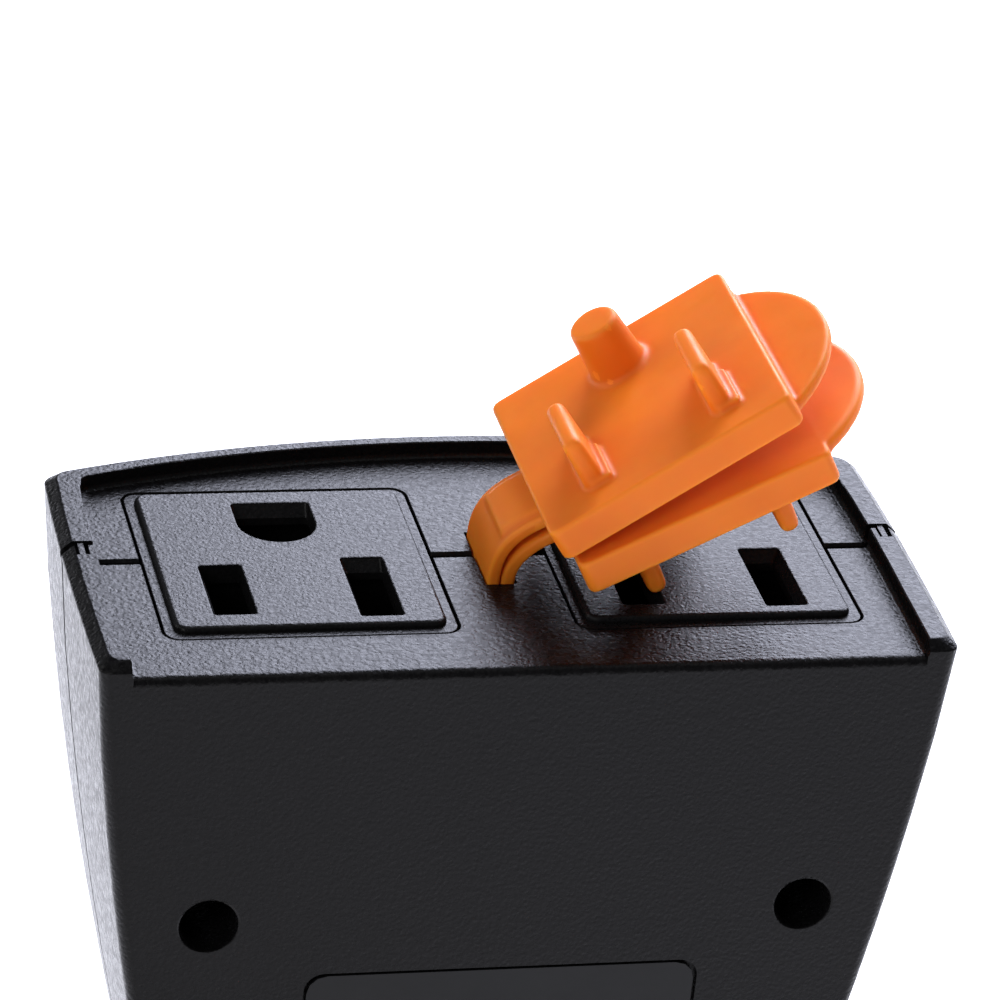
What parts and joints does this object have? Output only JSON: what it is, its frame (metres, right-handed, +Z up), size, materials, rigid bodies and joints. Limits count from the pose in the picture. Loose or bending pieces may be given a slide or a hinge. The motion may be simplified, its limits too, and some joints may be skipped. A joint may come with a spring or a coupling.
{
  "type": "two-outlet outdoor power module",
  "caption": "Tapered black outdoor power module with grounded outlets at its wide end and tethered orange silicone outlet caps.",
  "frame": {"origin": "centre of the bounding box's foot, where the narrow end stands", "axes": "+X across the two outlets, +Y from the rear shell with the screw wells towards the arched front shell, +Z up out of the outlets"},
  "size_m": [0.0758, 0.0412, 0.1239],
  "materials": {
    "shell_black": "black moulded shell with an even leather grain",
    "insert_black": "black outlet face with a fine satin grain",
    "orange_silicone": "orange silicone, slightly translucent, satin gloss",
    "black_rubber": "matte black seal rubber",
    "brass": "stamped brass contact strip",
    "zinc_steel": "zinc plated steel",
    "board_green": "green circuit board",
    "relay_blue": "blue relay case",
    "ivory_plastic": "ivory insulating plastic",
    "dark_plastic": "dark grey plastic",
    "lens_clear": "clear moulded light pipe",
    "label_film": "blank black label film",
    "wire_black": "black wire insulation",
    "wire_white": "white wire insulation",
    "wire_green": "green wire insulation"
  },
  "bodies": {
    "housing": {"rear_shell": "shell_black", "front_shell": "shell_black", "outlet_insert_left": "insert_black", "outlet_insert_right": "insert_black", "cord_gland": "black_rubber", "seam_gasket_left": "black_rubber", "seam_gasket_right": "black_rubber", "contact_carrier": "ivory_plastic", "ground_bus": "brass", "neutral_bus": "brass", "line_contact_left": "brass", "line_contact_right": "brass", "circuit_board": "board_green", "board_screw_left": "zinc_steel", "board_screw_right": "zinc_steel", "relay_left": "relay_blue", "relay_right": "relay_blue", "terminal_block": "ivory_plastic", "transformer": "dark_plastic", "smoothing_capacitor": "dark_plastic", "radio_module": "zinc_steel", "line_fuse": "ivory_plastic", "status_led": "lens_clear", "tact_switch": "dark_plastic", "wire_line": "wire_black", "wire_neutral": "wire_white", "wire_ground": "wire_green", "cord_clamp": "dark_plastic", "clamp_screw_left": "zinc_steel", "clamp_screw_right": "zinc_steel", "strap_anchor": "dark_plastic", "rating_label": "label_film", "light_pipe": "lens_clear", "case_screw_upper_left": "zinc_steel", "case_screw_upper_right": "zinc_steel", "case_screw_lower_left": "zinc_steel", "case_screw_lower_right": "zinc_steel", "strap_left": "orange_silicone", "strap_right": "orange_silicone"},
    "left_cap": {"cap_left": "orange_silicone"},
    "right_cap": {"cap_right": "orange_silicone"},
    "button": {"power_button": "dark_plastic"}
  },
  "joints": [
    {"name": "left_cap_hinge", "type": "hinge", "parent": "housing", "child": "left_cap", "pos_m": [-0.00055, 0, 0.10385], "axis": [0, -1, 0], "range_deg": [0, 146.35], "stiffness_Nm_per_rad": 0.02, "deforming": ["strap_left"]},
    {"name": "right_cap_hinge", "type": "hinge", "parent": "housing", "child": "right_cap", "pos_m": [0.0012, 0, 0.10353], "axis": [0, 1, 0], "range_deg": [-3, 27.02], "stiffness_Nm_per_rad": 0.02, "deforming": ["strap_right"]},
    {"name": "power_button_press", "type": "slide", "parent": "housing", "child": "button", "axis": [0, -1, 0], "range_m": [0, 0.001], "stiffness_N_per_m": 400}
  ]
}
